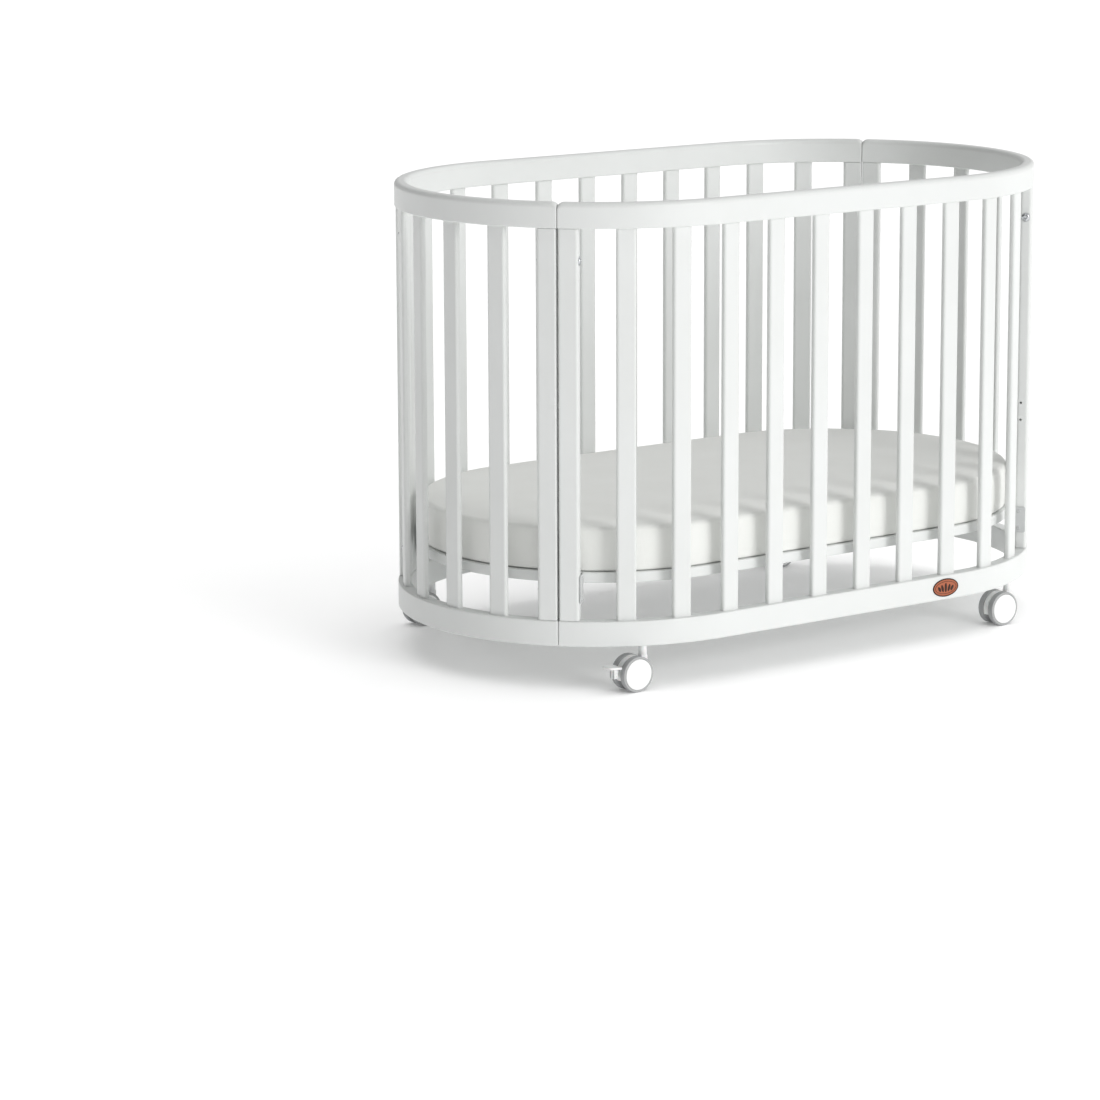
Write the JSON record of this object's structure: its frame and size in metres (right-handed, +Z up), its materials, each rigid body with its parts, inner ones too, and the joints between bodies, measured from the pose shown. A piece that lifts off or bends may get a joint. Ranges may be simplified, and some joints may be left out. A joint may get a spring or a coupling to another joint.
{
  "type": "oval baby crib",
  "caption": "Oval slatted baby crib with bent rails, bolted panels, height-adjustable mattress base, mattress and twin-wheel castors with brakes.",
  "frame": {"origin": "on the floor under the middle of the crib", "axes": "+Z up, +X along the length, -Y towards the front side"},
  "size_m": [1.26, 0.72, 0.837],
  "materials": {
    "painted_frame": "white satin paint on turned and steam-bent beech",
    "painted_board": "white satin paint on board",
    "mattress_cover": "plain woven cotton cover, matt",
    "bracket_steel": "light grey powder coat on steel sheet",
    "castor_nylon": "moulded white nylon, half gloss",
    "castor_tyre": "light grey soft tyre with a flat white cap"
  },
  "bodies": {
    "root": {"bottom_rail_front": "painted_frame", "bottom_rail_right": "painted_frame", "bottom_rail_back": "painted_frame", "bottom_rail_left": "painted_frame", "top_rail_front": "painted_frame", "top_rail_right": "painted_frame", "top_rail_back": "painted_frame", "top_rail_left": "painted_frame", "post_front_1": "painted_frame", "post_front_2": "painted_frame", "post_right_1": "painted_frame", "post_right_2": "painted_frame", "post_back_1": "painted_frame", "post_back_2": "painted_frame", "post_left_1": "painted_frame", "post_left_2": "painted_frame", "slat_front_01": "painted_frame", "slat_front_02": "painted_frame", "slat_front_03": "painted_frame", "slat_front_04": "painted_frame", "slat_front_05": "painted_frame", "slat_front_06": "painted_frame", "slat_front_07": "painted_frame", "slat_front_08": "painted_frame", "slat_front_09": "painted_frame", "slat_front_10": "painted_frame", "slat_right_01": "painted_frame", "slat_right_02": "painted_frame", "slat_right_03": "painted_frame", "slat_right_04": "painted_frame", "slat_back_01": "painted_frame", "slat_back_02": "painted_frame", "slat_back_03": "painted_frame", "slat_back_04": "painted_frame", "slat_back_05": "painted_frame", "slat_back_06": "painted_frame", "slat_back_07": "painted_frame", "slat_back_08": "painted_frame", "slat_back_09": "painted_frame", "slat_back_10": "painted_frame", "slat_left_01": "painted_frame", "slat_left_02": "painted_frame", "slat_left_03": "painted_frame", "slat_left_04": "painted_frame"},
    "base": {"mattress_base": "painted_board", "bracket_front_left": "bracket_steel", "bracket_front_right": "bracket_steel", "bracket_back_left": "bracket_steel", "bracket_back_right": "bracket_steel"},
    "mattress": {"mattress": "mattress_cover"},
    "castor_front_left": {"castor_housing_front_left": "castor_nylon"},
    "wheels_front_left": {"castor_wheels_front_left": "castor_tyre"},
    "pedal_front_left": {"brake_pedal_front_left": "castor_nylon"},
    "castor_front_right": {"castor_housing_front_right": "castor_nylon"},
    "wheels_front_right": {"castor_wheels_front_right": "castor_tyre"},
    "castor_back_right": {"castor_housing_back_right": "castor_nylon"},
    "wheels_back_right": {"castor_wheels_back_right": "castor_tyre"},
    "pedal_back_right": {"brake_pedal_back_right": "castor_nylon"},
    "castor_back_left": {"castor_housing_back_left": "castor_nylon"},
    "wheels_back_left": {"castor_wheels_back_left": "castor_tyre"}
  },
  "joints": [
    {"name": "base_height", "type": "slide", "parent": "root", "child": "base", "axis": [0, 0, 1], "range_m": [0, 0.203]},
    {"name": "mattress_lift", "type": "slide", "parent": "base", "child": "mattress", "axis": [0, 0, 1], "range_m": [0, 0.45]},
    {"name": "castor_swivel_front_left", "type": "hinge", "parent": "root", "child": "castor_front_left", "pos_m": [-0.40876, -0.31914, 0.071], "axis": [0, 0, 1], "continuous": true},
    {"name": "wheel_spin_front_left", "type": "hinge", "parent": "castor_front_left", "child": "wheels_front_left", "pos_m": [-0.43077, -0.31914, 0.031], "axis": [0, 1, 0], "continuous": true},
    {"name": "brake_press_front_left", "type": "hinge", "parent": "castor_front_left", "child": "pedal_front_left", "pos_m": [-0.46626, -0.31914, 0.034], "axis": [0, -1, 0], "range_deg": [0, 14]},
    {"name": "castor_swivel_front_right", "type": "hinge", "parent": "root", "child": "castor_front_right", "pos_m": [0.42687, -0.31064, 0.071], "axis": [0, 0, 1], "continuous": true},
    {"name": "wheel_spin_front_right", "type": "hinge", "parent": "castor_front_right", "child": "wheels_front_right", "pos_m": [0.40487, -0.31064, 0.031], "axis": [0, 1, 0], "continuous": true},
    {"name": "castor_swivel_back_right", "type": "hinge", "parent": "root", "child": "castor_back_right", "pos_m": [0.40876, 0.31914, 0.071], "axis": [0, 0, 1], "continuous": true},
    {"name": "wheel_spin_back_right", "type": "hinge", "parent": "castor_back_right", "child": "wheels_back_right", "pos_m": [0.38677, 0.31914, 0.031], "axis": [0, 1, 0], "continuous": true},
    {"name": "brake_press_back_right", "type": "hinge", "parent": "castor_back_right", "child": "pedal_back_right", "pos_m": [0.35126, 0.31914, 0.034], "axis": [0, -1, 0], "range_deg": [0, 14]},
    {"name": "castor_swivel_back_left", "type": "hinge", "parent": "root", "child": "castor_back_left", "pos_m": [-0.42687, 0.31064, 0.071], "axis": [0, 0, 1], "continuous": true},
    {"name": "wheel_spin_back_left", "type": "hinge", "parent": "castor_back_left", "child": "wheels_back_left", "pos_m": [-0.44887, 0.31064, 0.031], "axis": [0, 1, 0], "continuous": true}
  ]
}
